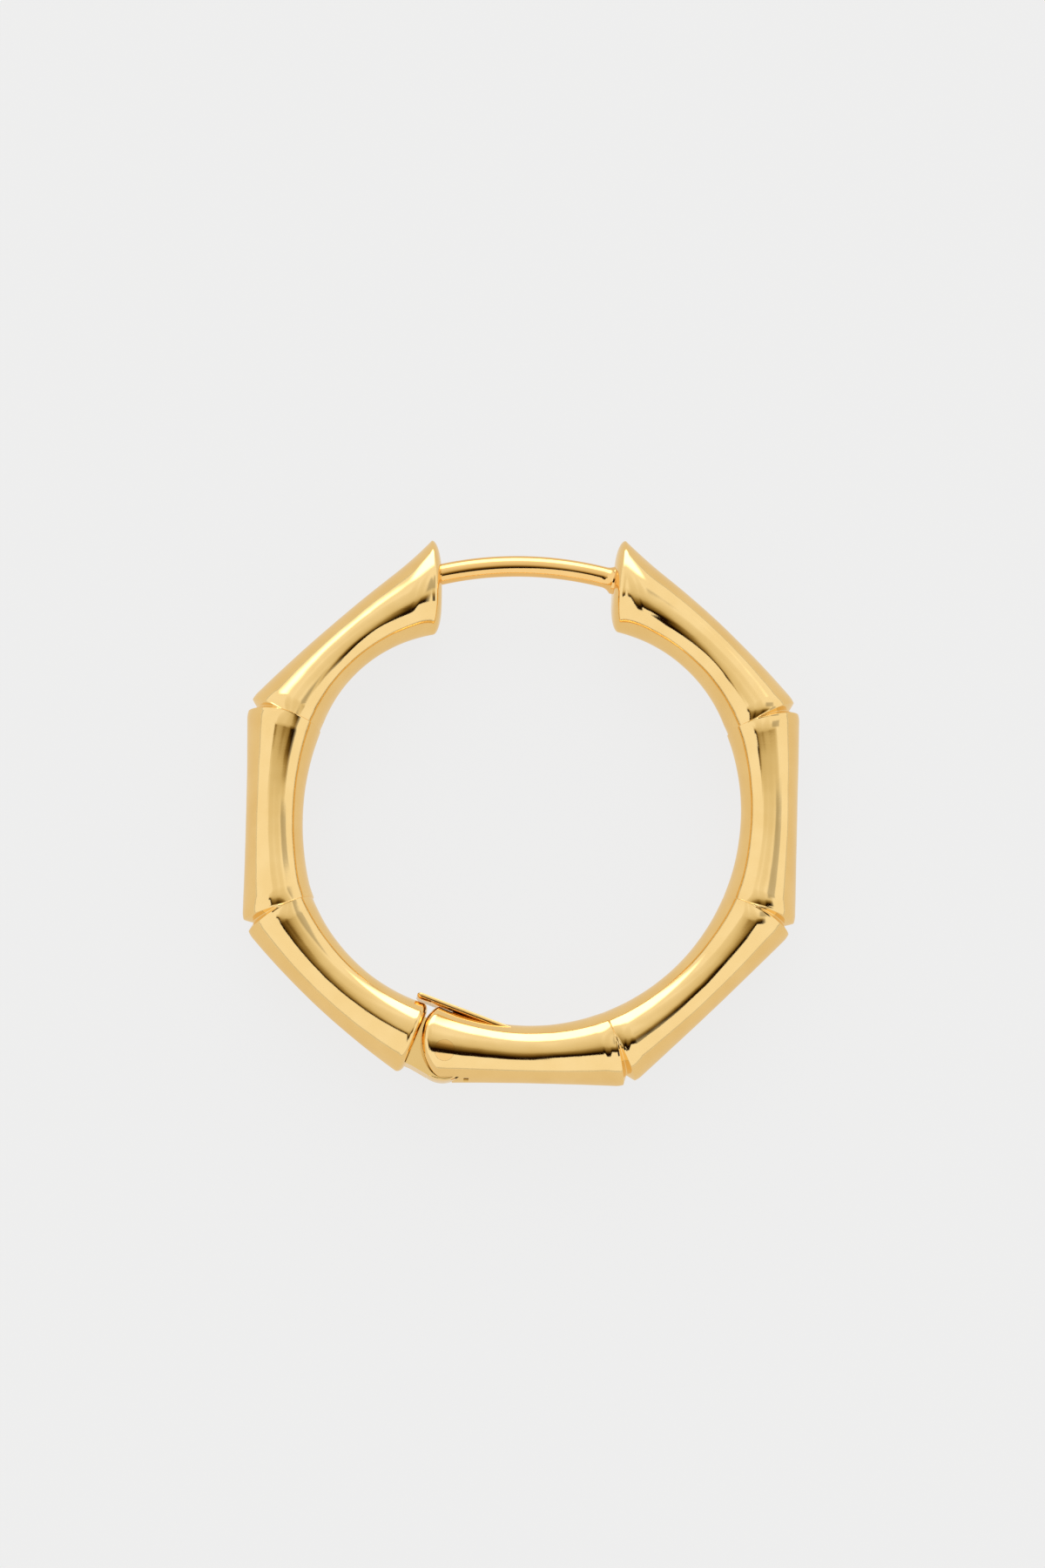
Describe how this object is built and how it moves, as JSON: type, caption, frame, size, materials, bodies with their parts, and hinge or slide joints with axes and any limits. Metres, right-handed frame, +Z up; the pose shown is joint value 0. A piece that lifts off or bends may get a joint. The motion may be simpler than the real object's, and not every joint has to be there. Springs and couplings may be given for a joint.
{
  "type": "bamboo hoop earring",
  "caption": "Polished gold hinged hoop earring in bamboo form: an octagon of notched lengths with a round inside, an arched ear post across its top and a snap hinge below.",
  "frame": {"origin": "middle of the outline, on the surface that the hoop lies on", "axes": "+X to the side of the arm that carries the ear post, +Y to the gap that the ear post closes, +Z up through the hoop, along the hinge pin"},
  "size_m": [0.0252, 0.0252, 0.0037],
  "materials": {
    "bright_gold": "mirror polished gold plate",
    "wire_gold": "drawn and polished gold wire",
    "spring_gold": "rolled gold strip, lightly polished"
  },
  "bodies": {
    "post_side": {"post_arm": "bright_gold", "hinge_pin": "wire_gold", "snap_spring": "spring_gold"},
    "swing_side": {"hinge_arm": "bright_gold"}
  },
  "joints": [
    {"name": "hinge_turn", "type": "hinge", "parent": "post_side", "child": "swing_side", "pos_m": [-0.0036, -0.01129, 0.00184], "axis": [0, 0, 1], "range_deg": [0, 50]}
  ]
}
